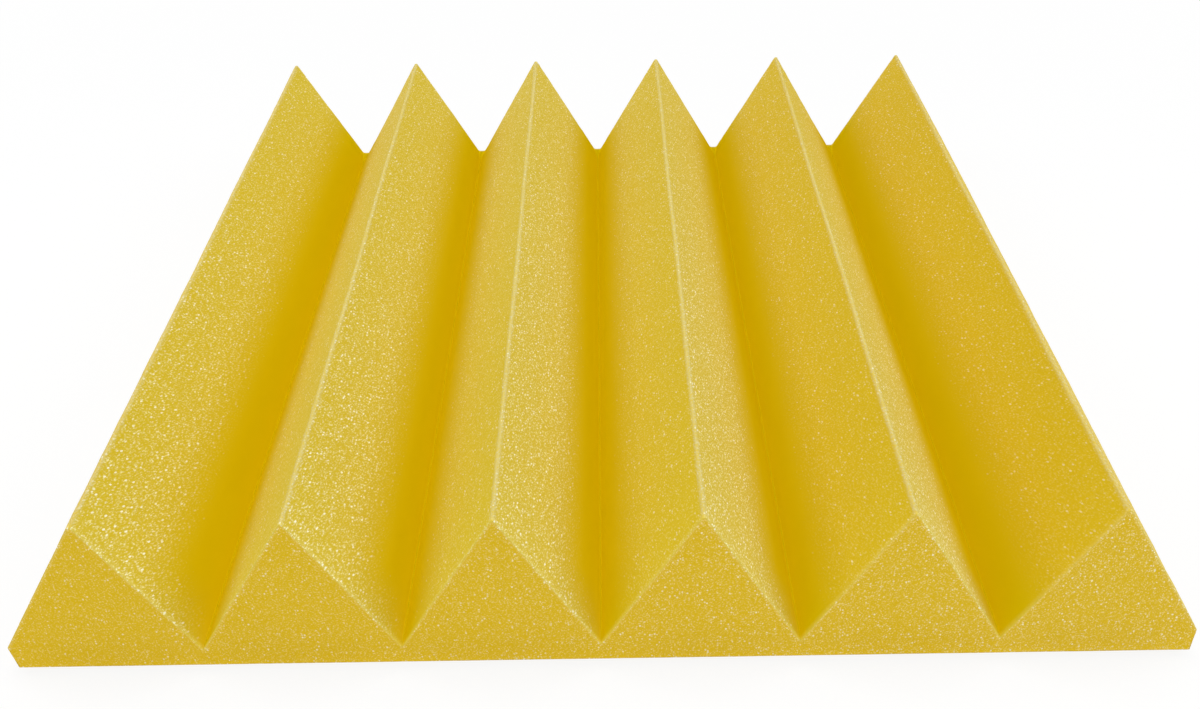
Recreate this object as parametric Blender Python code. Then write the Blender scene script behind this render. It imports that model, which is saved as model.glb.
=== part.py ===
"""Wedge acoustic foam panel, lying on its back with the wedges up.

A square tile of open-cell foam with six wedge-shaped ridges that run from its front edge to its back
edge. Five squares of double-sided foam tape are stuck to its flat back, each still covered by its
release liner. X runs across the ridges, Y along them and Z up. The origin is under the tile's middle,
on the plane that the liners lie on. Sizes are in metres, and colours are linear RGB.
"""

import math

import bpy

# Foam tile
TILE_SIDE = 0.3048  # a 12 in square
RIDGE_COUNT = 6
EDGE_TRIM = 0.0011  # the tile's sides are cut this far inside the line of a valley
FOAM_HEIGHT = 0.0466  # flat back to crest
BASE_THICKNESS = 0.0056  # flat back to valley floor
CREST_RADIUS = 0.0013
VALLEY_RADIUS = 0.0022
FOAM_ARC_STEPS = 6
FOAM_COLOUR = (0.66, 0.44, 0.03)
FOAM_ROUGHNESS = 0.95

# Double-sided tape pads
PAD_SIDE = 0.040
PAD_THICKNESS = 0.0010
PAD_CORNER_RADIUS = 0.0020
PAD_MARGIN = 0.020  # from a corner pad to the tile's edges
PAD_COLOUR = (0.80, 0.80, 0.78)
PAD_ROUGHNESS = 0.60

# Release liners, each the pad's own square with a tongue to pull it off by
LINER_THICKNESS = 0.0002
TONGUE_WIDTH = 0.016
TONGUE_LENGTH = 0.008
TONGUE_TIP_RADIUS = 0.003
TONGUE_ROOT_RADIUS = 0.001
LINER_COLOUR = (0.86, 0.82, 0.70)
LINER_ROUGHNESS = 0.40

# Layers that are stuck together keep this gap between their faces
LAYER_GAP = 0.0003

PAD_BOTTOM = LINER_THICKNESS + LAYER_GAP
FOAM_BOTTOM = PAD_BOTTOM + PAD_THICKNESS + LAYER_GAP
PAD_OFFSET = TILE_SIDE / 2 - PAD_MARGIN - PAD_SIDE / 2

# The middle of each pad, and the turn in degrees that points its liner's tongue at a tile edge
PAD_PLACES = {
    "front_left": (-PAD_OFFSET, -PAD_OFFSET, 180),
    "front_right": (PAD_OFFSET, -PAD_OFFSET, 180),
    "back_left": (-PAD_OFFSET, PAD_OFFSET, 0),
    "back_right": (PAD_OFFSET, PAD_OFFSET, 0),
    "centre": (0.0, 0.0, 0),
}


def clear_scene():
    """Remove every object that the file opened with."""
    for obj in list(bpy.data.objects):
        bpy.data.objects.remove(obj, do_unlink=True)


def arc(centre, radius, start, end, steps):
    """Points on a circular arc from angle start to angle end, both included."""
    points = []
    for step in range(steps + 1):
        angle = start + (end - start) * step / steps
        x = centre[0] + radius * math.cos(angle)
        y = centre[1] + radius * math.sin(angle)
        points.append((x, y))
    return points


def rounded_outline(corners, steps=4):
    """A closed outline whose corners, given as (x, y, radius), are rounded by arcs.

    An arc's centre lies on the line that halves its corner, radius / sin(half the corner's angle) away.
    """
    points = []
    for index, (x, y, radius) in enumerate(corners):
        before = corners[index - 1]
        after = corners[(index + 1) % len(corners)]
        to_before = math.atan2(before[1] - y, before[0] - x)
        to_after = math.atan2(after[1] - y, after[0] - x)
        corner_angle = (to_after - to_before + math.pi) % (2 * math.pi) - math.pi
        halfway = to_before + corner_angle / 2
        reach = radius / math.sin(abs(corner_angle) / 2)
        centre = (x + reach * math.cos(halfway), y + reach * math.sin(halfway))
        swing = math.copysign(math.pi - abs(corner_angle), corner_angle)
        start = halfway + math.pi + swing / 2
        points += arc(centre, radius, start, start - swing, steps)
    return points


def slab(name, outline, thickness, collection):
    """A flat solid with the outline in local XY, from local Z = -thickness / 2 to thickness / 2."""
    curve = bpy.data.curves.new(name, "CURVE")
    curve.dimensions = "2D"
    curve.fill_mode = "BOTH"
    curve.extrude = thickness / 2
    spline = curve.splines.new("POLY")
    spline.points.add(len(outline) - 1)
    for point, (x, y) in zip(spline.points, outline):
        point.co = (x, y, 0.0, 1.0)
    spline.use_cyclic_u = True
    obj = bpy.data.objects.new(name, curve)
    collection.objects.link(obj)
    return obj


def give_finish(obj, colour, roughness):
    """A Principled material of the object's own, with one colour and no metal in it."""
    material = bpy.data.materials.new(obj.name)
    material.use_nodes = True
    shader = material.node_tree.nodes["Principled BSDF"]
    shader.inputs["Base Color"].default_value = (*colour, 1.0)
    shader.inputs["Roughness"].default_value = roughness
    shader.inputs["Metallic"].default_value = 0.0
    obj.data.materials.append(material)


def flank_angle(pitch):
    """The angle between a flank and the vertical.

    A flank is the common tangent of a crest arc and a valley arc half a pitch apart, so with r the sum
    of their radii and rise the foam's height less its base, the angle a solves
    (pitch / 2) cos a - (rise - r) sin a = r.
    """
    radii = CREST_RADIUS + VALLEY_RADIUS
    across = pitch / 2
    up = FOAM_HEIGHT - BASE_THICKNESS - radii
    return math.acos(radii / math.hypot(across, up)) - math.atan2(up, across)


def wedge_outline():
    """The tile's cross-section, clockwise from its lower left corner, with X across and Y up."""
    half = TILE_SIDE / 2
    pitch = (TILE_SIDE + 2 * EDGE_TRIM) / RIDGE_COUNT
    flank = flank_angle(pitch)

    # The side cut takes the outer flank off at this height
    sharp_crest = FOAM_HEIGHT - CREST_RADIUS + CREST_RADIUS / math.sin(flank)
    side_height = sharp_crest - (pitch / 2 - EDGE_TRIM) / math.tan(flank)

    outline = [(-half, 0.0), (-half, side_height)]
    for ridge in range(RIDGE_COUNT):
        crest_x = -half - EDGE_TRIM + pitch * (ridge + 0.5)
        crest = (crest_x, FOAM_HEIGHT - CREST_RADIUS)
        outline += arc(crest, CREST_RADIUS, math.pi - flank, flank, FOAM_ARC_STEPS)
        if ridge < RIDGE_COUNT - 1:
            valley = (crest_x + pitch / 2, BASE_THICKNESS + VALLEY_RADIUS)
            outline += arc(valley, VALLEY_RADIUS, math.pi + flank, 2 * math.pi - flank, FOAM_ARC_STEPS)
    outline += [(half, side_height), (half, 0.0)]
    return outline


def foam_panel(collection):
    """The tile: the wedge profile stood upright and carried from the front edge to the back edge."""
    foam = slab("foam_panel", wedge_outline(), TILE_SIDE, collection)
    foam.location = (0.0, 0.0, FOAM_BOTTOM)
    foam.rotation_euler = (math.pi / 2, 0.0, 0.0)
    give_finish(foam, FOAM_COLOUR, FOAM_ROUGHNESS)
    return foam


def adhesive_pad(place, collection):
    """A die-cut square of foam tape against the tile's back."""
    half = PAD_SIDE / 2
    corners = [
        (-half, -half, PAD_CORNER_RADIUS),
        (half, -half, PAD_CORNER_RADIUS),
        (half, half, PAD_CORNER_RADIUS),
        (-half, half, PAD_CORNER_RADIUS),
    ]
    pad = slab("adhesive_pad_" + place, rounded_outline(corners), PAD_THICKNESS, collection)
    x, y, turn = PAD_PLACES[place]
    pad.location = (x, y, PAD_BOTTOM + PAD_THICKNESS / 2)
    pad.rotation_euler = (0.0, 0.0, math.radians(turn))
    give_finish(pad, PAD_COLOUR, PAD_ROUGHNESS)
    return pad


def release_liner(place, collection):
    """The paper over a pad's outer side, with its tongue."""
    half = PAD_SIDE / 2
    tongue = TONGUE_WIDTH / 2
    tip = half + TONGUE_LENGTH
    corners = [
        (-half, -half, PAD_CORNER_RADIUS),
        (half, -half, PAD_CORNER_RADIUS),
        (half, half, PAD_CORNER_RADIUS),
        (tongue, half, TONGUE_ROOT_RADIUS),
        (tongue, tip, TONGUE_TIP_RADIUS),
        (-tongue, tip, TONGUE_TIP_RADIUS),
        (-tongue, half, TONGUE_ROOT_RADIUS),
        (-half, half, PAD_CORNER_RADIUS),
    ]
    liner = slab("release_liner_" + place, rounded_outline(corners), LINER_THICKNESS, collection)
    x, y, turn = PAD_PLACES[place]
    liner.location = (x, y, LINER_THICKNESS / 2)
    liner.rotation_euler = (0.0, 0.0, math.radians(turn))
    give_finish(liner, LINER_COLOUR, LINER_ROUGHNESS)
    return liner


def build_panel():
    """Every piece, in one collection, under one empty at the origin."""
    parts = bpy.data.collections.new("wedge_acoustic_foam_panel")
    bpy.context.scene.collection.children.link(parts)
    panel = bpy.data.objects.new("panel", None)
    parts.objects.link(panel)

    pieces = [foam_panel(parts)]
    for place in PAD_PLACES:
        pieces.append(adhesive_pad(place, parts))
        pieces.append(release_liner(place, parts))
    for piece in pieces:
        piece.parent = panel


clear_scene()
build_panel()
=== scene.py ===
import math

import bpy
import numpy as np
from mathutils import Matrix, Vector


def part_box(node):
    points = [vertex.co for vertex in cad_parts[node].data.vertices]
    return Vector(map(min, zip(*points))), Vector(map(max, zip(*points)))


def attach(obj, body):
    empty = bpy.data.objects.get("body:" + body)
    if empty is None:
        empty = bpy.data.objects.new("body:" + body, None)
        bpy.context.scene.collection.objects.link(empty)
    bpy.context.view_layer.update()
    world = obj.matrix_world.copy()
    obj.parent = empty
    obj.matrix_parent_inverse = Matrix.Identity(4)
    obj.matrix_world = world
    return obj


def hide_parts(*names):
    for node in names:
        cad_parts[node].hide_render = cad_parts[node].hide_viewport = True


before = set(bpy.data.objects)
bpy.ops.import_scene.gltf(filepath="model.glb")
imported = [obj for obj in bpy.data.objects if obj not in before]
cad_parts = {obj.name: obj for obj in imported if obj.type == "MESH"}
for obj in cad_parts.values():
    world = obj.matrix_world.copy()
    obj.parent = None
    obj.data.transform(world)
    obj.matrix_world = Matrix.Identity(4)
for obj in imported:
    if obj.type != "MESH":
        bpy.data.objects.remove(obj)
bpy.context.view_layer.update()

# Foam tile
# One block of open-cell polyurethane foam, contour-cut on a band knife into six wedges on a thin base,
# then trimmed square with straight cuts. Nothing is glued on: ridges, valleys and base are one piece.
TILE_LOW, TILE_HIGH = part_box("foam_panel")
TILE_HALF = (TILE_HIGH.x - TILE_LOW.x) / 2
FOAM_HEIGHT = TILE_HIGH.z - TILE_LOW.z
RIDGE_COUNT = 6
EDGE_TRIM = 0.0011  # the side cuts run this far inside the line of a valley
RIDGE_PITCH = (2 * TILE_HALF + 2 * EDGE_TRIM) / RIDGE_COUNT
OUTER_CREST = TILE_HALF + EDGE_TRIM - RIDGE_PITCH / 2  # from the tile's middle to its first or last crest
BASE_THICKNESS = 0.0056
CREST_RADIUS = 0.0008
VALLEY_RADIUS = 0.0002
SIDE_CORNER_RADIUS = 0.0006
BACK_EDGE_RADIUS = 0.0002
END_ROUNDING = 0.0002
SIDE_LEAN = (0.0013, 0.0004)  # how far the left and right side cuts run in under the tile
GROOVE_OPENING = 0.0012  # at the back end the grooves are this much wider to each side at the bottom
OPENING_LENGTH = 0.010

# Steps of the mesh: with an evenness of 1 they are all alike, and with less they are finer near both ends
ARC_STEPS = 6  # round a crest and round a valley
CORNER_STEPS = 3  # from an outer flank to a side face
FLANK_STEPS = 24
FLANK_EVENNESS = 0.2
SIDE_STEPS = 18  # down a side face and down an end face
END_STEPS = 3  # round the edge of an end face
ROW_STEPS = 106  # along the ridges
ROW_EVENNESS = 0.51


def arc_points(centre, radius, start, end, steps):
    """Points on a circle: its centre plus radius (cos, sin) of angles spaced evenly from start to end."""
    angle = np.linspace(start, end, steps + 1)
    return np.array(centre) + radius * np.stack([np.cos(angle), np.sin(angle)], axis=1)


def dense_ends(steps, evenness):
    """Shares from 0 to 1 that lie closer together near both ends.

    A share is evenness u + (1 - evenness) (1 - cos(pi u)) / 2, with u even from 0 to 1.
    """
    u = np.linspace(0, 1, steps + 1)
    return evenness * u + (1 - evenness) * (1 - np.cos(np.pi * u)) / 2


def flank_points(start, end):
    """Points on a straight flank, without its two ends, which belong to the arcs that it joins."""
    share = dense_ends(FLANK_STEPS, FLANK_EVENNESS)[1:-1, None]
    return start + (end - start) * share


def wedge_line():
    """The cut surface's outline in X and Z above the flat back, from the left side to the right one.

    Flanks are common tangents of crest and valley arcs half a pitch apart, so with r the sum of the two
    radii the flank's angle a from the vertical solves (pitch / 2) cos a - (rise - r) sin a = r.
    """
    radii = CREST_RADIUS + VALLEY_RADIUS
    up = FOAM_HEIGHT - BASE_THICKNESS - radii
    flank = math.acos(radii / math.hypot(RIDGE_PITCH / 2, up)) - math.atan2(up, RIDGE_PITCH / 2)

    # The side cut takes the outer flank off at this height, and their corner is rounded
    sharp_crest = FOAM_HEIGHT - CREST_RADIUS + CREST_RADIUS / math.sin(flank)
    side_height = sharp_crest - (RIDGE_PITCH / 2 - EDGE_TRIM) / math.tan(flank)
    corner_x = TILE_HALF - SIDE_CORNER_RADIUS
    corner_z = side_height - SIDE_CORNER_RADIUS * math.tan((math.pi / 2 - flank) / 2)
    left = arc_points((-corner_x, corner_z), SIDE_CORNER_RADIUS, math.pi, math.pi - flank, CORNER_STEPS)
    right = arc_points((corner_x, corner_z), SIDE_CORNER_RADIUS, flank, 0, CORNER_STEPS)

    arcs = [left]
    valley_start, valley_end = math.pi + flank, 2 * math.pi - flank
    for ridge in range(RIDGE_COUNT):
        crest_x = -TILE_HALF - EDGE_TRIM + RIDGE_PITCH * (ridge + 0.5)
        crest = (crest_x, FOAM_HEIGHT - CREST_RADIUS)
        valley = (crest_x + RIDGE_PITCH / 2, BASE_THICKNESS + VALLEY_RADIUS)
        arcs.append(arc_points(crest, CREST_RADIUS, math.pi - flank, flank, ARC_STEPS))
        arcs.append(arc_points(valley, VALLEY_RADIUS, valley_start, valley_end, ARC_STEPS))
    arcs[-1] = right  # beyond the last crest the side cut is in the place of a valley

    line = [left]
    for before, after in zip(arcs, arcs[1:]):
        line += [flank_points(before[-1], after[0]), after]
    return np.concatenate(line)


def tile_section():
    """The four parts of a section in X and Z, which run clockwise seen from the front end.

    They are the wedge line, the points down the right side, the flat back's line and the points up the
    left side. Each point of the wedge line has one on the back's line under it. Within a radius r of a
    side the back's line rises by r - sqrt(r * r - d * d), with d how far it is past the arc's centre.
    """
    top = wedge_line()
    past = np.maximum(BACK_EDGE_RADIUS - (TILE_HALF - np.abs(top[:, 0])), 0)
    rise = BACK_EDGE_RADIUS - np.sqrt(np.maximum(BACK_EDGE_RADIUS**2 - past**2, 0))
    feet = (SIDE_LEAN[0] - TILE_HALF, TILE_HALF - SIDE_LEAN[1])
    back = np.stack([np.interp(top[:, 0], (-TILE_HALF, TILE_HALF), feet), rise], axis=1)[::-1]
    share = dense_ends(SIDE_STEPS, 0)[1:-1, None]
    right = top[-1] + (back[0] - top[-1]) * (1 - share[::-1])
    left = back[-1] + (top[0] - back[-1]) * share
    return top, right, back, left


def left_normals(outline):
    """Unit normals on a closed outline's left, square to the line between each point's neighbours."""
    along = np.roll(outline, -1, axis=0) - np.roll(outline, 1, axis=0)
    along /= np.linalg.norm(along, axis=1, keepdims=True)
    return np.stack([-along[:, 1], along[:, 0]], axis=1)


def lengths_along(line):
    """Each point's length along a line of straight stretches."""
    return np.concatenate([[0], np.cumsum(np.linalg.norm(np.diff(line, axis=0), axis=1))])


def rows_along():
    """Places along Y from the front end to the back end, and how far the section is drawn in at each.

    Near an end it is drawn in by rounding (1 - cos f) at rounding (1 - sin f) from the end, with f from
    0 to 90 degrees: a quarter circle.
    """
    turn = np.linspace(0, np.pi / 2, END_STEPS + 1)
    lead = END_ROUNDING * (1 - np.sin(turn))
    draw = END_ROUNDING * (1 - np.cos(turn))
    middle = END_ROUNDING + 2 * (TILE_HALF - END_ROUNDING) * dense_ends(ROW_STEPS, ROW_EVENNESS)
    y = np.concatenate([lead[::-1], middle[1:-1], 2 * TILE_HALF - lead]) - TILE_HALF
    inset = np.concatenate([draw[::-1], np.zeros(len(middle) - 2), draw])
    return y, inset


# Relief of the cells, and drift of the knife
CELL_RELIEF = 0.00003
RELIEF_STEP = 0.0005  # between the grid values of the relief
RELIEF_BLURS = (1.1, 7)  # of its fine and its coarse part, in grid steps
RELIEF_SEEDS = (11, 12)
FLAT_BELOW = 0.000001  # what lies lower is the flat back
BACK_RELIEF = 0.3  # the share of the relief that the flat back has
FLOOR_RELIEF = 0.2  # the share of the relief that the bottom of a groove has
FLOOR_RISE = 0.002  # the bottom of a groove reaches this far up
BLADE_WANDER = 0.00008  # how far the knife drifts sideways over the length of a ridge
BLADE_DROP = 0.5  # how far it drifts down, as a share of that
WANDER_BLUR = 5
WANDER_SEED = 13
END_BLUR = 1.2  # of the relief on the end faces
END_SEED = 14
NOISE_COLUMNS = 64  # in the noise of the knife's drift and of the end faces


def soft_noise(shape, blur, seed):
    """Smooth random heights on a grid that repeats, with mean 0 and standard deviation 1.

    White noise is multiplied, in frequency space, by a Gaussian whose width in grid steps is blur.
    """
    white = np.random.default_rng(seed).standard_normal(shape)
    k0 = np.fft.fftfreq(shape[0])[:, None] * 2 * np.pi
    k1 = np.fft.rfftfreq(shape[1])[None, :] * 2 * np.pi
    smooth = np.fft.irfft2(np.fft.rfft2(white) * np.exp(-(k0**2 + k1**2) * blur**2 / 2), shape)
    smooth -= smooth.mean()
    return smooth / smooth.std()


def read_noise(grid, step, u, v):
    """The noise at places u, v in metres, blended linearly between the four grid values round each."""
    a, b = u / step, v / step
    i, j = np.floor(a).astype(int), np.floor(b).astype(int)
    fa, fb = a - i, b - j
    rows, columns = grid.shape
    i0, i1, j0, j1 = i % rows, (i + 1) % rows, j % columns, (j + 1) % columns
    low = grid[i0, j0] * (1 - fb) + grid[i0, j1] * fb
    high = grid[i1, j0] * (1 - fb) + grid[i1, j1] * fb
    return low * (1 - fa) + high * fa


def cell_relief(loop, in_groove, y):
    """How far the cells stand out, fainter on the flat back and on the bottom of a groove."""
    length = lengths_along(loop)
    shape = (int(length[-1] / RELIEF_STEP) + 1, int(2 * TILE_HALF / RELIEF_STEP) + 1)
    fine, coarse = (soft_noise(shape, blur, seed) for blur, seed in zip(RELIEF_BLURS, RELIEF_SEEDS))
    s, t = np.meshgrid(length, y + TILE_HALF, indexing="ij")
    relief = read_noise(CELL_RELIEF * fine + CELL_RELIEF * coarse, RELIEF_STEP, s, t)
    relief[loop[:, 1] < FLAT_BELOW] *= BACK_RELIEF
    relief[in_groove & (loop[:, 1] < BASE_THICKNESS + FLOOR_RISE)] *= FLOOR_RELIEF
    return relief


def knife_drift(y):
    """How far the knife has drifted sideways and up at places along Y, read from soft noise.

    It never cuts too high, so the second is at most 0.
    """
    wander = BLADE_WANDER * soft_noise((2, NOISE_COLUMNS), WANDER_BLUR, WANDER_SEED)
    places = np.linspace(-TILE_HALF, TILE_HALF, NOISE_COLUMNS)
    sideways, upward = (np.interp(y, places, drift) for drift in wander)
    return sideways, BLADE_DROP * np.minimum(upward, 0)


def eased(share):
    """0 up to 0 and 1 from 1 on, and between them u u (3 - 2 u), which starts and ends level."""
    u = np.clip(share, 0, 1)
    return u * u * (3 - 2 * u)


def groove_opening(loop, in_groove, y):
    """How far a groove's walls move apart near the back end: most at the bottom, and not at a crest."""
    beside = loop[:, 0] - RIDGE_PITCH * np.round(loop[:, 0] / RIDGE_PITCH)
    above = (loop[:, 1] - BASE_THICKNESS) / (FOAM_HEIGHT - BASE_THICKNESS)
    widen = in_groove * np.clip(beside / VALLEY_RADIUS, -1, 1) * (1 - above)
    return widen[:, None] * GROOVE_OPENING * eased(1 - (TILE_HALF - y) / OPENING_LENGTH)


def body_points(loop, normal, in_groove, y, inset):
    """The section at each place along Y: every point plus its normal times relief less inset.

    The knife's drift moves it too, in proportion to its height, and near the back end so do the grooves
    that open.
    """
    out = cell_relief(loop, in_groove, y) - inset
    sideways, upward = knife_drift(y)
    share = loop[:, 1, None] / FOAM_HEIGHT
    x = loop[:, 0, None] + normal[:, 0, None] * out + share * sideways
    x += groove_opening(loop, in_groove, y)
    z = loop[:, 1, None] + normal[:, 1, None] * out + share * upward
    return np.stack([x, np.broadcast_to(y, x.shape), z], axis=-1)


# Tones of the cuts, where a pair of numbers is for what faces left and for what faces right
PALE_BAND = 0.0004  # half width of the paler band along a cut edge: fuzz, plus painted glow of the thin edge
CREST_PAINT_DEPTH = 1.2 * PALE_BAND  # the crest's painted highlight reaches this far down
FRINGE = 0.25  # how pale flanks that face right are at the front end, beside the band
FRINGE_REACH = 0.005  # over this length back from the front end that fades
SIDE_REACH = 0.1  # this far to the left or right of the tile's middle a side's own tones are complete
PAINTED_LIGHT_LOW = 0.045  # painted light low in a groove, against the shade that gathers there
LOW_REACH = 0.004  # over this rise that fades
PAINTED_SHADE_BOTTOM = 0.21  # painted shade on the very bottom of a groove, which faces up toward the lamps
LEVEL_FROM = 0.53  # that bottom is where the surface's normal points further up than this
PAINTED_SHADE_LEFT = 0.05  # painted shade on flanks that face left, toward the tile's right side
DARKER_OUTSIDE = 0.03  # how much darker the tile's outer flanks are
SHADE_BELOW = 0.0099  # in a groove, up to this height the cut is smooth and in painted shade
SHADE_SHIFT = 0.0011  # the smooth, shaded strips are this much higher on flanks that face right, lower on others
SHADE_LEAN = 0.027  # the smooth, shaded strips climb higher on the flanks that face the tile's middle
SHADE_RAISE = 0.0016  # and toward the tile's right side on flanks that face right
TEAR_AND_LIGHT_REACH = 0.015  # over this rise the painted shade fades and the cells tear open fully
# Flanks that face the right lamp take more painted light
TORN_LIT_BY_FACING = (0.70, 1.00)  # how open fully torn cells are and how much painted light they take
LESS_AT_RIGHT = (0.34, 0.20)  # the share that is missing from this at the tile's right side
LESS_AT_LEFT = 0.14  # and at its left side, on flanks that face right
MORE_AT_BACK = (0.24, -0.16)  # the share that is added at the back end, and missing at the front end
FRONT_TEAR_AND_LIGHT = 0.022  # this close to the front end flanks that face right are torn and take painted light further down
FRONT_FADE = 1.5  # the power with which that fades
FRONT_RISE = 0.008  # up from the bottom of a groove it sets in over this rise
FRONT_OPEN_AND_LIT = 0.85  # the share of what is still closed and shaded that it opens and lights
GROOVE_SHADE_LIKE_TRIM = 0.7  # painted shade: left-facing flanks at the right side take this much trimming-cut tone
OUTSIDE_LIKE_TRIM = 0.5  # how far the tile's outer flanks have it
END_FOOT_PAINTED_LIGHT = 0.25  # painted light at an end face's lower edge, against the shade near the floor
END_LIGHT_REACH = 0.0015  # over this rise that fades
END_TORN = 0.64  # how far the cells of an end face are torn open
END_TORN_LEAN = 0.1  # this is added at the right side, and missing at the left side
FLANK_SLOPE = 0.5  # a point's distance from a flank, as a share of how far it lies below the wedge line


def by_facing(facing, pair):
    """The first number of the pair for what faces left (-1), the second for what faces right (1)."""
    return np.interp(facing, (-1, 1), pair)


def body_tones(loop, normal, on_cut, in_groove, y):
    """What the foam's finish reads at each point of the body.

    crest and cut_end tell how near it is to a crest and to a cut end, as exp(-(distance / band) squared),
    painted_light_shade how much painted light and shade make the foam lighter or darker there,
    torn_and_lit how far its cells are torn open and paler with painted light, and trimmed how much it
    has the tone of the straight trimming cuts.
    """
    height = loop[:, 1]
    facing = np.sign(normal[:, 0])
    faces_left, faces_right = facing < 0, facing > 0
    rightward = np.clip(loop[:, 0] / SIDE_REACH, 0, 1)
    leftward = np.clip(-loop[:, 0] / SIDE_REACH, 0, 1)

    on_crest = np.exp(-(((FOAM_HEIGHT - height) / CREST_PAINT_DEPTH) ** 2))
    on_end = np.exp(-(((TILE_HALF - np.abs(y)) / PALE_BAND) ** 2))
    fringe = FRINGE * np.exp(-(y + TILE_HALF) / FRINGE_REACH)
    crest = on_crest[:, None] * (1 - on_end)
    cut_end = on_end * on_cut[:, None] + fringe * (in_groove & faces_right)[:, None]

    # Painted light low in a groove, and painted shade on its very bottom and on flanks that face left
    # toward the tile's right side; the tile's outer flanks are darker too
    level = np.clip((normal[:, 1] - LEVEL_FROM) / (1 - LEVEL_FROM), 0, 1)
    low = np.exp(-(((height - BASE_THICKNESS) / LOW_REACH) ** 2))
    painted_light_shade = (PAINTED_LIGHT_LOW - PAINTED_SHADE_BOTTOM * level) * low * in_groove
    painted_light_shade -= PAINTED_SHADE_LEFT * rightward * faces_left * in_groove + DARKER_OUTSIDE * (on_cut & ~in_groove)

    # Smooth and in painted shade at the bottom of a groove; torn open and paler with painted light most
    # on flanks that face right, and less toward the tile's right side, on flanks that face right also
    # toward its left side
    shade_below = SHADE_BELOW + facing * (SHADE_SHIFT - SHADE_LEAN * loop[:, 0])
    shade_below += SHADE_RAISE * rightward**2 * faces_right
    risen = eased((height - shade_below) / TEAR_AND_LIGHT_REACH)
    open_and_lit = np.where(in_groove, risen, 1) * by_facing(facing, TORN_LIT_BY_FACING)
    open_and_lit *= 1 - by_facing(facing, LESS_AT_RIGHT) * rightward
    open_and_lit *= 1 - LESS_AT_LEFT * leftward * faces_right

    # Toward the back flanks that face left are torn more and take more painted light, the others less
    backward = 1 + by_facing(facing, MORE_AT_BACK)[:, None] * y / TILE_HALF
    closed_and_shaded = 1 - np.clip(open_and_lit[:, None] * backward, 0, 1)

    # Close to the front end the flanks that face right are torn and take painted light further down
    near_front = np.clip(1 - (y + TILE_HALF) / FRONT_TEAR_AND_LIGHT, 0, 1) ** FRONT_FADE
    above_floor = np.clip((height - BASE_THICKNESS) / FRONT_RISE, 0, 1) * in_groove * faces_right
    closed_and_shaded *= 1 - FRONT_OPEN_AND_LIT * above_floor[:, None] * near_front

    # Flanks that face left toward the tile's right side take the trimming cuts' deeper tone as painted
    # shade
    groove_shade_trim = GROOVE_SHADE_LIKE_TRIM * rightward * risen * faces_left
    trimmed = np.where(in_groove, groove_shade_trim, np.where(on_cut, OUTSIDE_LIKE_TRIM, 1))
    tones = {
        "crest": crest,
        "cut_end": cut_end,
        "painted_light_shade": painted_light_shade[:, None],
        "torn_and_lit": 1 - closed_and_shaded,
        "trimmed": trimmed[:, None],
    }
    return {name: np.broadcast_to(tone, crest.shape).ravel() for name, tone in tones.items()}


def end_tones(face, below):
    """What the foam's finish reads at each point of an end face, by the names of body_tones.

    below is how far each point lies below the wedge line.
    """
    tones = {
        "crest": np.zeros(below.shape),
        "cut_end": np.exp(-((below * FLANK_SLOPE / PALE_BAND) ** 2)),
        # Painted light at an end face's foot, against the shade near the floor
        "painted_light_shade": END_FOOT_PAINTED_LIGHT * np.exp(-face[:, :, 2] / END_LIGHT_REACH),
        "torn_and_lit": END_TORN + END_TORN_LEAN * face[:, :, 0] / TILE_HALF,
        "trimmed": np.ones(below.shape),
    }
    return {name: tone.ravel() for name, tone in tones.items()}


def grid_faces(index):
    """Quads between neighbouring entries of a two-dimensional array of vertex numbers."""
    corners = [index[:-1, :-1], index[:-1, 1:], index[1:, 1:], index[1:, :-1]]
    return np.stack(corners, axis=-1).reshape(-1, 4)


def new_mesh_object(name, points, quads, triangles=None):
    """A smooth-shaded mesh object at the origin, in the scene's own collection."""
    corners = [quads.ravel()]
    sizes = [np.full(len(quads), 4)]
    if triangles is not None:
        corners.append(triangles.ravel())
        sizes.append(np.full(len(triangles), 3))
    corners = np.concatenate(corners).astype(np.int32)
    sizes = np.concatenate(sizes)
    starts = np.concatenate([[0], np.cumsum(sizes)[:-1]]).astype(np.int32)
    mesh = bpy.data.meshes.new(name)
    mesh.vertices.add(len(points))
    mesh.vertices.foreach_set("co", np.ascontiguousarray(points, np.float32).ravel())
    mesh.loops.add(len(corners))
    mesh.loops.foreach_set("vertex_index", corners)
    mesh.polygons.add(len(starts))
    mesh.polygons.foreach_set("loop_start", starts)
    mesh.update(calc_edges=True)
    mesh.validate()
    mesh.shade_smooth()
    obj = bpy.data.objects.new(name, mesh)
    bpy.context.scene.collection.objects.link(obj)
    return obj


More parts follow.
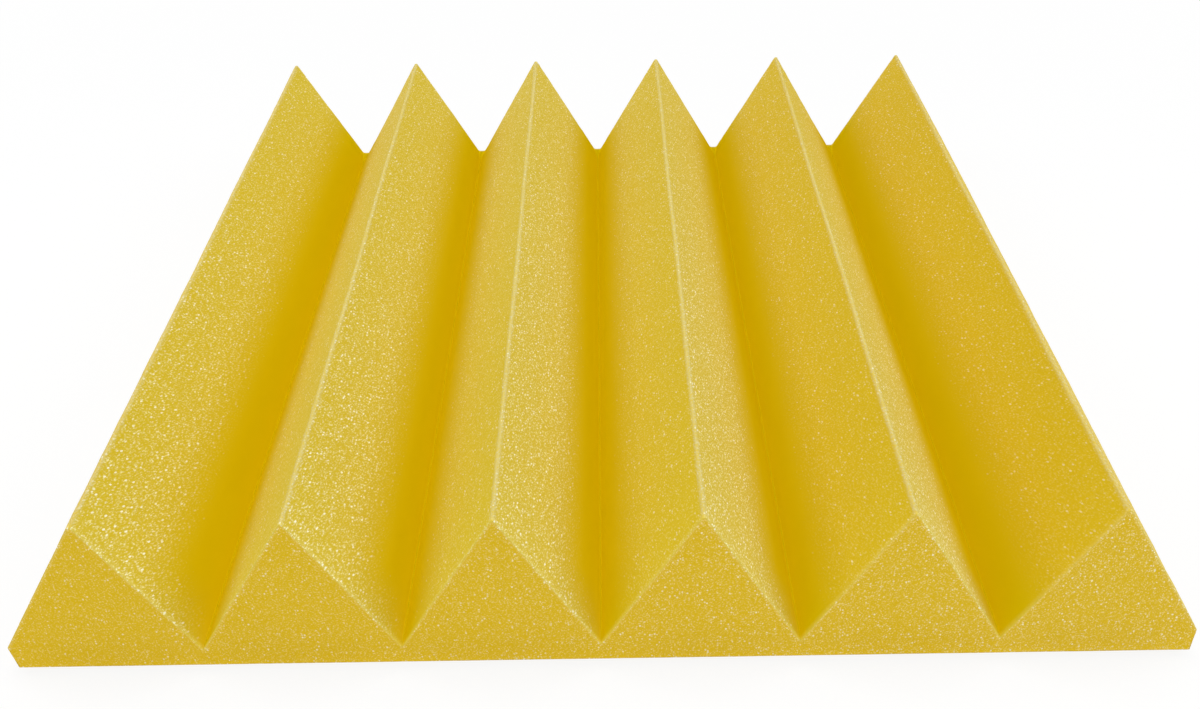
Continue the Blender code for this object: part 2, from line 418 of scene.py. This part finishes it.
def foam_tile():
    """The tile's section carried along Y from the front end to the back end, closed by two flat ends.

    An end is a grid of columns, low + (high - low) share, from the back's line to the wedge line. Its
    rows are closer together near both lines, and its outermost columns are the body's own points.
    """
    section = tile_section()
    loop = np.concatenate(section)
    normal = left_normals(loop)
    columns = len(section[0])
    on_cut = np.arange(len(loop)) < columns
    in_groove = on_cut & (np.abs(loop[:, 0]) < OUTER_CREST - CREST_RADIUS / 2)
    y, inset = rows_along()
    body = body_points(loop, normal, in_groove, y, inset)
    rings = np.arange(len(loop) * len(y)).reshape(len(loop), len(y))
    points = [body.reshape(-1, 3)]
    tones = [body_tones(loop, normal, on_cut, in_groove, y)]
    quads = [grid_faces(np.concatenate([rings, rings[:1]]).T)]
    made = rings.size

    share = dense_ends(SIDE_STEPS, 0)[1:-1, None, None]
    grain = CELL_RELIEF * np.abs(soft_noise((columns, NOISE_COLUMNS), END_BLUR, END_SEED))
    grain = grain[1:-1, : len(share)].T
    part_ends = np.cumsum([len(part) for part in section[:-1]])
    for side, row in ((-1, 0), (1, -1)):
        over, down, under, up = np.split(rings[:, row], part_ends)
        under = under[::-1]
        low, high = points[0][under], points[0][over]
        face = low + (high - low) * share
        tones.append(end_tones(face, high[:, 2] - face[:, :, 2]))
        face[:, 1:-1, 1] -= side * grain
        points.append(face.reshape(-1, 3))
        inner = made + np.arange(len(share) * columns).reshape(len(share), columns)
        inner[:, 0], inner[:, -1] = up, down[::-1]
        quads.append(grid_faces(np.concatenate([under[None], inner, over[None]]))[:, ::-side])
        made += inner.size

    points = np.concatenate(points)
    points[:, 2] += TILE_LOW.z
    used, corners = np.unique(np.concatenate(quads), return_inverse=True)
    tile = new_mesh_object("foam_tile", points[used], corners.reshape(-1, 4))
    for name in tones[0]:
        values = np.concatenate([part[name] for part in tones])[used].astype(np.float32)
        tile.data.attributes.new(name, "FLOAT", "POINT").data.foreach_set("value", values)
    return tile


# Colours and patterns of the foam
# Painted shade: the deep gold of a groove's smooth bottom, where the cut lies in shade
PAINTED_SHADE_GOLD = (0.735, 0.54, 0.001, 1)
# Torn cells, paler with painted light on the flanks that the lamps reach
TORN_LIT_GOLD = (0.665, 0.49, 0.012, 1)
TRIMMED_GOLD = (0.733, 0.486, 0.011, 1)
# Painted glints of the cell skins, which are pale themselves
PAINTED_GLINT = (0.98, 0.96, 0.72, 1)
# Painted highlight of a crest, pale but dull where the lamps already light the crest
CREST_HIGHLIGHT_PAINT = (0.58, 0.515, 0.31, 1)
SHEEN_TINT = (1.0, 0.97, 0.80, 1)
SHEEN = 0.16  # on cells that are torn open
END_FUZZ_AND_GLOW = 0.2  # how far a cut end shows the grain and the glints of torn cells, as fuzz and painted edge glow
DRAG_SLOPE = math.radians(-31)  # the cut drags torn cells along, backwards and down
DRAG_STRETCH = (1.0, 3.0, 1.0)  # which makes them this much longer that way than across
GRAIN_SCALE = 2400.0
GRAIN_RANGE = (0.28, 0.72)  # what counts as low and as high in the grain's noise
GRAIN_POWER = 4.0  # it leaves more low places than high ones
GRAIN_COLOUR = (0.25, 0.38, 0.42)  # what the highest grain adds to the ground tone
GRAIN_SET_IN = 1.5  # the power with which the grain comes up as cells are torn open
END_PALENESS = 0.13  # how far a cut end is as pale as the highest grain, a painted glow of the thin edge
CELL_SCALE = 1600.0
DOT_CHANCES = (0.5, 1.0)  # as a cell's random number goes from the first to the second of these,
DOT_RADII = (0.2, 0.48)  # so does the radius of its skin
DOT_EDGE = 0.12  # from its rim inwards a skin comes up over this distance
DOT_POWER = 5.0  # it leaves most skins faint and a few bright
DOT_GAIN = 1.1  # how bright the brightest painted glints are where the cells are fully torn
CREST_PAINT_GRAIN = 0.5  # how far the highest grain of a crest takes the painted highlight, on top of CREST_PAINT_EVENLY
CREST_PAINT_EVENLY = 0.15
PIT_SCALE = 2000.0


def add_node(tree, kind, values=None, **settings):
    """A new shader node. Each input that values names is set, or linked if its value is a socket."""
    made = tree.nodes.new("ShaderNode" + kind)
    for name, value in settings.items():
        setattr(made, name, value)
    for name, value in (values or {}).items():
        if isinstance(value, bpy.types.NodeSocket):
            tree.links.new(value, made.inputs[name])
        else:
            made.inputs[name].default_value = value
    return made


def compute(tree, operation, *values, **settings):
    """The result of one Math operation on numbers or sockets."""
    return add_node(tree, "Math", dict(enumerate(values)), operation=operation, **settings).outputs[0]


def map_range(tree, value, start, end, low=0.0, high=1.0):
    """A number that goes evenly from low to high while value goes from start to end, and stays beyond."""
    values = {"Value": value, "From Min": start, "From Max": end, "To Min": low, "To Max": high}
    return add_node(tree, "MapRange", values).outputs["Result"]


def mix_colours(tree, share, first, second):
    """The first colour where share is 0, the second where it is 1."""
    values = {"Factor": share, "A": first, "B": second}
    return add_node(tree, "Mix", values, data_type="RGBA").outputs["Result"]


def new_finish(name):
    """A material with its node tree and its Principled shader."""
    material = bpy.data.materials.new(name)
    material.use_nodes = True
    return material, material.node_tree, material.node_tree.nodes["Principled BSDF"]


def emboss(tree, shader, height, strength, distance):
    """Shades the surface as if it stood out by distance times height, to the share that strength says."""
    values = {"Strength": strength, "Distance": distance, "Height": height}
    tree.links.new(add_node(tree, "Bump", values).outputs["Normal"], shader.inputs["Normal"])


def foam_finish():
    """Golden yellow open-cell foam: fine cells, painted light and shade, pale torn cells and painted
    glints.
    """
    material, tree, shader = new_finish("golden open-cell foam")
    place = add_node(tree, "TexCoord").outputs["Object"]
    torn_and_lit = add_node(tree, "Attribute", attribute_name="torn_and_lit").outputs["Fac"]
    crest = add_node(tree, "Attribute", attribute_name="crest").outputs["Fac"]
    cut_end = add_node(tree, "Attribute", attribute_name="cut_end").outputs["Fac"]
    painted_light_shade = add_node(tree, "Attribute", attribute_name="painted_light_shade").outputs["Fac"]
    trimmed = add_node(tree, "Attribute", attribute_name="trimmed").outputs["Fac"]

    # Ground tones: painted shade on a groove's smooth bottom, torn cells paler with painted light, and
    # the straight trimming cuts
    ground = mix_colours(tree, torn_and_lit, PAINTED_SHADE_GOLD, TORN_LIT_GOLD)
    ground = mix_colours(tree, trimmed, ground, TRIMMED_GOLD)
    # Painted light and shade make the ground lighter or darker
    ground = {0: ground, "Scale": compute(tree, "ADD", painted_light_shade, 1.0)}
    ground = add_node(tree, "VectorMath", ground, operation="SCALE").outputs["Vector"]

    # Single cells: a fine grain, longer the way the cut drags it, and paler and lighter where it rises
    dragged = {"Vector": place, "Rotation": (DRAG_SLOPE, 0, 0), "Scale": DRAG_STRETCH}
    dragged = add_node(tree, "Mapping", dragged, vector_type="TEXTURE").outputs["Vector"]
    noise = {"Vector": dragged, "Scale": GRAIN_SCALE, "Detail": 1.0, "Roughness": 0.6}
    noise = add_node(tree, "TexNoise", noise).outputs["Fac"]
    rise = map_range(tree, noise, *GRAIN_RANGE)
    # A cut end is paler: fuzz, plus painted glow where light scatters through the thin edge
    shown = compute(tree, "MULTIPLY_ADD", cut_end, END_FUZZ_AND_GLOW, torn_and_lit)
    grain = compute(tree, "POWER", rise, GRAIN_POWER)
    set_in = compute(tree, "POWER", shown, GRAIN_SET_IN)
    pale = compute(tree, "MULTIPLY", cut_end, END_PALENESS)
    grain = {0: compute(tree, "MULTIPLY_ADD", grain, set_in, pale), 1: GRAIN_COLOUR, 2: ground}
    grain = add_node(tree, "VectorMath", grain, operation="MULTIPLY_ADD").outputs["Vector"]

    # Painted glints on pale torn cell skins: a dot in each torn cell of a random pattern, where the
    # brighter ones are larger
    cells = add_node(tree, "TexVoronoi", {"Vector": dragged, "Scale": CELL_SCALE}).outputs
    chance = add_node(tree, "SeparateColor", {"Color": cells["Color"]}).outputs
    radius = map_range(tree, chance["Red"], *DOT_CHANCES, *DOT_RADII)
    inside = compute(tree, "SUBTRACT", radius, cells["Distance"])
    dot = map_range(tree, inside, 0.0, DOT_EDGE)
    dot = compute(tree, "MULTIPLY", dot, compute(tree, "POWER", chance["Red"], DOT_POWER))
    is_torn = compute(tree, "LESS_THAN", chance["Blue"], shown)
    shine = compute(tree, "MULTIPLY", compute(tree, "MULTIPLY", shown, DOT_GAIN), is_torn)
    dot = compute(tree, "MULTIPLY", dot, shine, use_clamp=True)
    colour = mix_colours(tree, dot, grain, PAINTED_GLINT)

    # A crest's pale line, cell by cell: a painted highlight, kept duller where the lamps already light it
    crest_paint = compute(tree, "MULTIPLY_ADD", rise, CREST_PAINT_GRAIN, CREST_PAINT_EVENLY)
    colour = mix_colours(tree, compute(tree, "MULTIPLY", crest, crest_paint), colour, CREST_HIGHLIGHT_PAINT)
    tree.links.new(colour, shader.inputs["Base Color"])

    # Cells as fine pits
    pits = add_node(tree, "TexVoronoi", {"Vector": place, "Scale": PIT_SCALE}, feature="SMOOTH_F1")
    emboss(tree, shader, pits.outputs["Distance"], strength=0.12, distance=0.00015)

    # Torn cells also catch light that comes in low, and the foam has no gloss
    tree.links.new(compute(tree, "MULTIPLY", torn_and_lit, SHEEN), shader.inputs["Sheen Weight"])
    shader.inputs["Sheen Roughness"].default_value = 0.5
    shader.inputs["Sheen Tint"].default_value = SHEEN_TINT
    shader.inputs["Roughness"].default_value = 0.95
    shader.inputs["Specular IOR Level"].default_value = 0.0
    return material


tile = foam_tile()
tile.data.materials.append(foam_finish())
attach(tile, "root")
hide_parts("foam_panel")

# Adhesive pads
# Five die-cut squares of white double-sided polyethylene foam tape, stuck to the tile's flat back near
# its corners and in its middle. Their cut edges swell a little and show fine pores.
PAD_PLACES = ("front_left", "front_right", "back_left", "back_right", "centre")
PAD_CORNER_RADIUS = 0.0020
PAD_EDGE_SWELL = 0.00018
PAD_RING_SHARES = (0.3, 0.55, 0.75, 0.9, 0.97)  # of the way from a pad's middle to its edge
PAD_ROUGHNESS = 0.00003
PAD_BLUR = 1.5
PAD_SEED = 20
OUTLINE_SPACING = 0.0004
OUTLINE_ARC_STEPS = 12  # in a rounded corner, before the outline is spaced evenly
EDGE_RINGS = 9  # round a cut edge
TAPE_COLOURS = ((0.66, 0.66, 0.63, 1), (0.84, 0.84, 0.82, 1))  # in a pore and round it
PORE_SCALE = 2600.0
PORE_LIMITS = (0.10, 0.40)  # the distances from a pore's middle between which the colours blend


def rounded_outline(corners):
    """A closed outline, evenly spaced, whose corners, given as (x, y, radius), are rounded by arcs.

    An arc's centre lies on the line that halves its corner, radius / sin(half the corner's angle) away.
    """
    points = []
    for index, (x, y, radius) in enumerate(corners):
        before, after = corners[index - 1], corners[(index + 1) % len(corners)]
        to_before = math.atan2(before[1] - y, before[0] - x)
        to_after = math.atan2(after[1] - y, after[0] - x)
        angle = (to_after - to_before + math.pi) % (2 * math.pi) - math.pi
        reach = radius / math.sin(abs(angle) / 2)
        halfway = to_before + angle / 2
        swing = math.copysign(math.pi - abs(angle), angle)
        start = halfway + math.pi + swing / 2
        centre = (x + reach * math.cos(halfway), y + reach * math.sin(halfway))
        points.append(arc_points(centre, radius, start, start - swing, OUTLINE_ARC_STEPS))
    points = np.concatenate(points + [points[0][:1]])
    length = lengths_along(points)
    places = np.linspace(0, length[-1], round(length[-1] / OUTLINE_SPACING), endpoint=False)
    return np.stack([np.interp(places, length, points[:, axis]) for axis in (0, 1)], axis=1)


def die_cut_rings(outline, thickness, swell, shares):
    """Rings from the middle of a flat piece's underside, round its edge, to the middle of its top.

    The outline runs anticlockwise. At angle f from -90 to 90 degrees the edge is thickness / 2 times
    (1 + sin f) high, and offset outwards by swell (cos f - 1 / 2). On the underside and on the top a ring
    is the edge's ring there times a share.
    """
    outward = -left_normals(outline)
    turn = np.linspace(-np.pi / 2, np.pi / 2, EDGE_RINGS)[:, None, None]
    edge = outline[None] + outward[None] * swell * (np.cos(turn) - 0.5)
    height = thickness / 2 * (1 + np.sin(turn)) + np.zeros(edge.shape[:2] + (1,))
    edge = np.concatenate([edge, height], axis=2)
    scale = np.array([1.0, 1.0, 0.0]) * np.array(shares)[:, None, None] + np.array([0.0, 0.0, 1.0])
    return np.concatenate([edge[:1] * scale, edge, edge[-1:] * scale[::-1]])


def ring_solid(name, rings):
    """A closed surface through rings that run anticlockwise seen from above, with a fan at each end."""
    rows, columns = rings.shape[:2]
    index = np.arange(rows * columns).reshape(rows, columns)
    wrapped = np.concatenate([index, index[:, :1]], axis=1)
    middles = rings[[0, -1]].mean(axis=1)
    ahead = np.roll(index, -1, axis=1)
    under = np.stack([ahead[0], index[0], np.full(columns, rows * columns)], axis=1)
    over = np.stack([index[-1], ahead[-1], np.full(columns, rows * columns + 1)], axis=1)
    points = np.concatenate([rings.reshape(-1, 3), middles])
    return new_mesh_object(name, points, grid_faces(wrapped), np.concatenate([under, over]))


def two_tones(tree, value, limits, colours):
    """The first colour up to the first limit, the second from the second on, and blends between them."""
    ramp = add_node(tree, "ValToRGB", {"Fac": value})
    for stop, limit, colour in zip(ramp.color_ramp.elements, limits, colours):
        stop.position = limit
        stop.color = colour
    return ramp.outputs["Color"]


def tape_finish():
    """White closed-cell polyethylene foam with an adhesive film: matte, with pores on its cut edges."""
    material, tree, shader = new_finish("white foam tape")
    place = add_node(tree, "TexCoord").outputs["Object"]
    pores = add_node(tree, "TexVoronoi", {"Vector": place, "Scale": PORE_SCALE}).outputs["Distance"]
    tree.links.new(two_tones(tree, pores, PORE_LIMITS, TAPE_COLOURS), shader.inputs["Base Color"])
    emboss(tree, shader, pores, strength=0.5, distance=0.0001)
    shader.inputs["Roughness"].default_value = 0.6
    return material


tape = tape_finish()
for number, place in enumerate(PAD_PLACES):
    low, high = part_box("adhesive_pad_" + place)
    middle, half = (low + high) / 2, (high.x - low.x) / 2
    square = [(-half, -half), (half, -half), (half, half), (-half, half)]
    outline = rounded_outline([(x, y, PAD_CORNER_RADIUS) for x, y in square])
    rings = die_cut_rings(outline, high.z - low.z, PAD_EDGE_SWELL, PAD_RING_SHARES)
    rough = PAD_ROUGHNESS * soft_noise(rings.shape[:2], PAD_BLUR, PAD_SEED + number)
    rings[:, :, :2] *= 1 + rough[:, :, None] / half
    rings += np.array([middle.x, middle.y, low.z])
    pad = ring_solid("adhesive_tape_" + place, rings)
    pad.data.materials.append(tape)
    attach(pad, "root")
    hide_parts("adhesive_pad_" + place)

# Release liners
# Waxed kraft paper over the outer side of each pad, die-cut with it, with a tongue to pull it off by.
# It is almost flat, with a slight cockle, and the loose tongue lifts towards the foam.
LINER_CORNER_RADIUS = 0.0020
LINER_EDGE_SWELL = 0.00005
LINER_RING_SHARES = (0.15, 0.3, 0.45, 0.6, 0.7, 0.78, 0.85, 0.91, 0.96, 0.99)
LINER_SEED = 30
TONGUE_HALF = 0.008  # half its width
TONGUE_TIP_RADIUS = 0.003
TONGUE_ROOT_RADIUS = 0.001
TONGUE_LIFT = 0.0007
COCKLE = 0.00004
COCKLE_STEP = 0.001  # between the grid values of the cockle
COCKLE_GRID = (96, 96)
COCKLE_BLUR = 9
COCKLE_START = 0.03  # the grid's first corner lies this far to the left of a pad's middle and before it
PAPER_COLOURS = ((0.78, 0.72, 0.56, 1), (0.90, 0.86, 0.74, 1))
FIBRE_STRETCH = (1.0, 0.35, 1.0)  # less than 1 makes the fibres longer that way
FIBRE_SCALE = 900.0
FIBRE_LIMITS = (0.3, 0.7)  # of the fibres' noise, from the paper's darkest tone to its lightest
WAX_SCALE = 120.0
WAX_ROUGHNESS = (0.30, 0.48)


def liner_finish():
    """Ivory paper with fine fibres under a thin, uneven coat of wax."""
    material, tree, shader = new_finish("waxed liner paper")
    place = add_node(tree, "TexCoord").outputs["Object"]
    stretched = add_node(tree, "Mapping", {"Vector": place, "Scale": FIBRE_STRETCH}).outputs["Vector"]
    fibres = {"Vector": stretched, "Scale": FIBRE_SCALE, "Detail": 4.0, "Roughness": 0.6}
    fibres = add_node(tree, "TexNoise", fibres).outputs["Fac"]
    tree.links.new(two_tones(tree, fibres, FIBRE_LIMITS, PAPER_COLOURS), shader.inputs["Base Color"])
    wax = add_node(tree, "TexNoise", {"Vector": place, "Scale": WAX_SCALE, "Detail": 2.0}).outputs["Fac"]
    tree.links.new(map_range(tree, wax, 0.0, 1.0, *WAX_ROUGHNESS), shader.inputs["Roughness"])
    emboss(tree, shader, fibres, strength=0.15, distance=0.00005)
    return material


paper = liner_finish()
for number, place in enumerate(PAD_PLACES):
    pad_low, pad_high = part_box("adhesive_pad_" + place)
    low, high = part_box("release_liner_" + place)
    middle, half = (pad_low + pad_high) / 2, (pad_high.x - pad_low.x) / 2
    forward = 1 if high.y - middle.y > middle.y - low.y else -1
    tip = max(high.y - middle.y, middle.y - low.y)
    corners = [
        (-half, -half, LINER_CORNER_RADIUS),
        (half, -half, LINER_CORNER_RADIUS),
        (half, half, LINER_CORNER_RADIUS),
        (TONGUE_HALF, half, TONGUE_ROOT_RADIUS),
        (TONGUE_HALF, tip, TONGUE_TIP_RADIUS),
        (-TONGUE_HALF, tip, TONGUE_TIP_RADIUS),
        (-TONGUE_HALF, half, TONGUE_ROOT_RADIUS),
        (-half, half, LINER_CORNER_RADIUS),
    ]
    outline = rounded_outline(corners)
    rings = die_cut_rings(outline, high.z - low.z, LINER_EDGE_SWELL, LINER_RING_SHARES)
    beyond = np.clip((rings[:, :, 1] - half) / (tip - half), 0, 1)
    waves = soft_noise(COCKLE_GRID, COCKLE_BLUR, LINER_SEED + number)
    across, along = rings[:, :, 0] + COCKLE_START, rings[:, :, 1] + COCKLE_START
    wave = read_noise(waves, COCKLE_STEP, across, along)
    rings[:, :, 2] += TONGUE_LIFT * beyond**2 + COCKLE * np.abs(wave)
    rings[:, :, :2] *= forward
    rings += np.array([middle.x, middle.y, low.z])
    liner = ring_solid("liner_paper_" + place, rings)
    liner.data.materials.append(paper)
    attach(liner, "root")
    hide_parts("release_liner_" + place)

# Studio floor
# A white sweep under the tile. It isn't part of the object: it takes a soft shadow and is white to the
# camera. From underneath it is clear and lets the room's light through to the tile's back, so that the
# back can be looked at.
FLOOR_HALF = 6.0
FLOOR_CORNERS = np.array([[-1, -1, 0], [1, -1, 0], [1, 1, 0], [-1, 1, 0]]) * FLOOR_HALF
FLOOR_PAINT = (0.88, 0.88, 0.88, 1)
PLAIN_WHITE = (1, 1, 1, 1)
FLOOR_WHITENESS = 0.88  # how far the floor under the tile goes to plain white for the camera
SHADED_FLOOR = (0.20, 0.60)  # between these distances from the tile's middle it goes over to plain white
LIT_GAP = 0.005  # the room's light passes the floor to what lies closer to it than this


def sees_backdrop(tree, ray):
    """1 on a ray from the camera, and on one that comes by way of gloss or glass, else 0."""
    seen = compute(tree, "MAXIMUM", ray["Is Camera Ray"], ray["Is Glossy Ray"])
    return compute(tree, "MAXIMUM", seen, ray["Is Transmission Ray"])


def mix_shaders(tree, share, first, second):
    """The first shader where share is 0, the second where it is 1."""
    return add_node(tree, "MixShader", {0: share, 1: first, 2: second}).outputs["Shader"]


def floor_finish():
    """White paint that goes to plain white for the camera, and is clear from underneath."""
    material = bpy.data.materials.new("white sweep")
    material.use_nodes = True
    tree = material.node_tree
    tree.nodes.clear()
    paint = add_node(tree, "BsdfDiffuse", {"Color": FLOOR_PAINT}).outputs["BSDF"]
    white = add_node(tree, "Emission", {"Color": PLAIN_WHITE}).outputs["Emission"]
    clear = add_node(tree, "BsdfTransparent").outputs["BSDF"]
    place = add_node(tree, "TexCoord").outputs["Object"]
    away = add_node(tree, "VectorMath", {0: place}, operation="LENGTH").outputs["Value"]
    whiteness = map_range(tree, away, *SHADED_FLOOR, low=FLOOR_WHITENESS)
    ray = add_node(tree, "LightPath").outputs
    whiteness = compute(tree, "MULTIPLY", sees_backdrop(tree, ray), whiteness)
    above = mix_shaders(tree, whiteness, paint, white)
    behind = add_node(tree, "NewGeometry").outputs["Backfacing"]
    close = compute(tree, "LESS_THAN", ray["Ray Length"], LIT_GAP)
    close = compute(tree, "MULTIPLY", close, ray["Is Diffuse Ray"])
    whole = mix_shaders(tree, compute(tree, "MAXIMUM", behind, close), above, clear)
    add_node(tree, "OutputMaterial", {"Surface": whole})
    return material


floor = new_mesh_object("studio_floor", FLOOR_CORNERS, np.array([[0, 1, 2, 3]]))
floor.data.materials.append(floor_finish())

# Light
# An even white room, a soft lamp on either side of the tile, one overhead and one behind the camera.
# A lamp is given by its place, the side of its square and its watts, and it is turned to the tile.
ROOM_LEVEL = 0.5
LAMPS = {
    "right lamp": ((0.58, -0.05, 0.52), 0.34, 1.2),
    "left lamp": ((-0.50, 0.08, 0.50), 0.34, 0.9),
    "top lamp": ((0.0, 0.1, 1.2), 0.5, 4.9),
    "front lamp": ((0.0, -1.2, 0.8), 0.9, 4.0),
}

room = bpy.data.worlds.new("white room")
room.use_nodes = True
tree = room.node_tree
tree.nodes.clear()
glow = add_node(tree, "Background", {"Color": PLAIN_WHITE, "Strength": ROOM_LEVEL})
backdrop = add_node(tree, "Background", {"Color": PLAIN_WHITE, "Strength": 1.0})
seen = sees_backdrop(tree, add_node(tree, "LightPath").outputs)
blend = mix_shaders(tree, seen, glow.outputs["Background"], backdrop.outputs["Background"])
add_node(tree, "OutputWorld", {"Surface": blend})
bpy.context.scene.world = room

for name, (place, side, watts) in LAMPS.items():
    light = bpy.data.lights.new(name, "AREA")
    light.shape = "SQUARE"
    light.size = side
    light.energy = watts
    lamp = bpy.data.objects.new(name, light)
    lamp.location = place
    lamp.rotation_euler = (-Vector(place)).to_track_quat("-Z", "Y").to_euler()
    bpy.context.scene.collection.objects.link(lamp)

# Camera
# It stands in front of the tile and looks down on it along the ridges.
CAMERA_PLACE = Vector((0.0028, -0.4088, 0.2611))
LOOK_DOWN = math.radians(32.84)
TURN = math.radians(0.36)
TILT = math.radians(-1.14)
SENSOR_WIDTH = 36.0
FOCAL_PIXELS = 1374.9  # the focal length, in pixels of a picture that is PICTURE_WIDTH wide
PICTURE_WIDTH = 1200

view = bpy.data.cameras.new("camera")
view.sensor_width = SENSOR_WIDTH
view.lens = SENSOR_WIDTH * FOCAL_PIXELS / PICTURE_WIDTH
view.clip_start = 0.01
view.clip_end = 100
camera = bpy.data.objects.new("camera", view)
aim = Matrix.Rotation(math.pi / 2 - LOOK_DOWN, 4, "X") @ Matrix.Rotation(TILT, 4, "Z")
camera.matrix_world = Matrix.Translation(CAMERA_PLACE) @ Matrix.Rotation(TURN, 4, "Z") @ aim
bpy.context.scene.collection.objects.link(camera)
bpy.context.scene.camera = camera
bpy.context.scene.view_settings.view_transform = "Standard"
